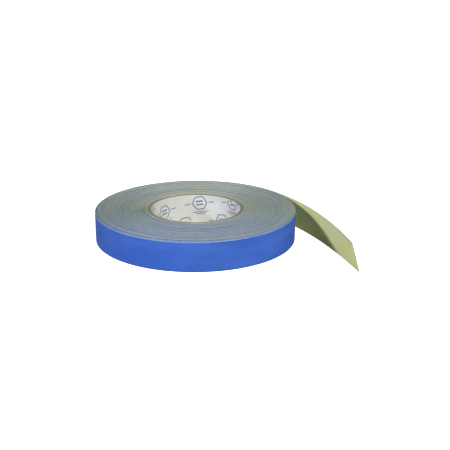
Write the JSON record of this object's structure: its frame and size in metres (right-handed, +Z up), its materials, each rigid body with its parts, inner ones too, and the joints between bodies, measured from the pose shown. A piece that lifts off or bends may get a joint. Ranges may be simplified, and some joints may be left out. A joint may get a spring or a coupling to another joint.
{
  "type": "grip tape roll",
  "caption": "Flat roll of textured adhesive grip tape with a release liner, wound on a paper core, with a loose tail that unwinds, bends and peels.",
  "frame": {"origin": "on the table, under the middle of the footprint of the roll and its tail; the roll's own axis is the vertical line at x -21.44 mm, y -0.25 mm", "axes": "+Z up along the roll's axis; +X towards the side on which the tail runs off; the tail's cut end points towards -Y"},
  "size_m": [0.2152, 0.1722, 0.025],
  "materials": {
    "film": "satin blue film with a fine grip texture; adhesive on its back",
    "liner": "smooth yellow-green silicone-coated release paper",
    "core_print": "matt off-white paper with printed blue-grey marks",
    "core_board": "matt brown core board",
    "core_kraft": "matt tan kraft paper",
    "tack_strip": "translucent double-sided tape"
  },
  "bodies": {
    "roll": {"core_printed_inner_ply": "core_print", "core_board_ply_1": "core_board", "core_board_ply_2": "core_board", "core_board_ply_3": "core_board", "core_board_ply_4": "core_board", "core_kraft_outer_ply": "core_kraft", "core_tack_strip": "tack_strip", "wound_film": "film", "wound_liner": "liner"},
    "wrap_link_1": {"wrap_film_1": "film", "wrap_liner_1": "liner"},
    "wrap_link_2": {"wrap_film_2": "film", "wrap_liner_2": "liner"},
    "wrap_link_3": {"wrap_film_3": "film", "wrap_liner_3": "liner"},
    "wrap_link_4": {"wrap_film_4": "film", "wrap_liner_4": "liner"},
    "tail_link_1": {"tail_film_1": "film", "tail_liner_1": "liner"},
    "tail_link_2": {"tail_film_2": "film", "tail_liner_2": "liner"},
    "tail_link_3": {"tail_film_3": "film", "tail_liner_3": "liner"},
    "tail_link_4": {"tail_film_4": "film", "tail_liner_4": "liner"},
    "tail_link_5": {"tail_film_5": "film", "tail_liner_5": "liner"},
    "tail_link_6": {"tail_film_6": "film", "tail_liner_6": "liner"},
    "liner_tip": {"tail_liner_tip": "liner"}
  },
  "joints": [
    {"name": "unwind_1", "type": "hinge", "parent": "roll", "child": "wrap_link_1", "pos_m": [-0.0604, 0.07622, 0.0125], "axis": [0, 0, 1], "range_deg": [0, 20], "stiffness_Nm_per_rad": 0.01},
    {"name": "unwind_2", "type": "hinge", "parent": "wrap_link_1", "child": "wrap_link_2", "pos_m": [-0.03487, 0.08457, 0.0125], "axis": [0, 0, 1], "range_deg": [0, 20], "stiffness_Nm_per_rad": 0.01},
    {"name": "unwind_3", "type": "hinge", "parent": "wrap_link_2", "child": "wrap_link_3", "pos_m": [-0.008, 0.08462, 0.0125], "axis": [0, 0, 1], "range_deg": [0, 20], "stiffness_Nm_per_rad": 0.01},
    {"name": "unwind_4", "type": "hinge", "parent": "wrap_link_3", "child": "wrap_link_4", "pos_m": [0.01759, 0.07635, 0.0125], "axis": [0, 0, 1], "range_deg": [0, 20], "stiffness_Nm_per_rad": 0.01},
    {"name": "tail_bend_1", "type": "hinge", "parent": "wrap_link_4", "child": "tail_link_1", "pos_m": [0.03939, 0.06058, 0.0125], "axis": [0, 0, 1], "range_deg": [0, 25], "stiffness_Nm_per_rad": 0.01},
    {"name": "tail_bend_2", "type": "hinge", "parent": "tail_link_1", "child": "tail_link_2", "pos_m": [0.05452, 0.04264, 0.01251], "axis": [0.0712, -0.1354, 0.9882], "range_deg": [-10.7, 25], "stiffness_Nm_per_rad": 0.01},
    {"name": "tail_bend_3", "type": "hinge", "parent": "tail_link_2", "child": "tail_link_3", "pos_m": [0.06705, 0.02282, 0.01251], "axis": [0.037, -0.2058, 0.9779], "range_deg": [-9.6, 25], "stiffness_Nm_per_rad": 0.01},
    {"name": "tail_bend_4", "type": "hinge", "parent": "tail_link_3", "child": "tail_link_4", "pos_m": [0.07742, 0.00181, 0.0125], "axis": [-0.012, -0.2416, 0.9703], "range_deg": [-10.8, 25], "stiffness_Nm_per_rad": 0.01},
    {"name": "tail_bend_5", "type": "hinge", "parent": "tail_link_4", "child": "tail_link_5", "pos_m": [0.08606, -0.01995, 0.01246], "axis": [-0.0609, -0.2854, 0.9565], "range_deg": [-10.9, 25], "stiffness_Nm_per_rad": 0.01},
    {"name": "tail_bend_6", "type": "hinge", "parent": "tail_link_5", "child": "tail_link_6", "pos_m": [0.09334, -0.0422, 0.01239], "axis": [-0.1301, -0.315, 0.9401], "range_deg": [-16.3, 25], "stiffness_Nm_per_rad": 0.01},
    {"name": "liner_peel", "type": "hinge", "parent": "tail_link_6", "child": "liner_tip", "pos_m": [0.09717, -0.05716, 0.01224], "axis": [0.2014, 0.0598, -0.9777], "range_deg": [0, 120]}
  ]
}
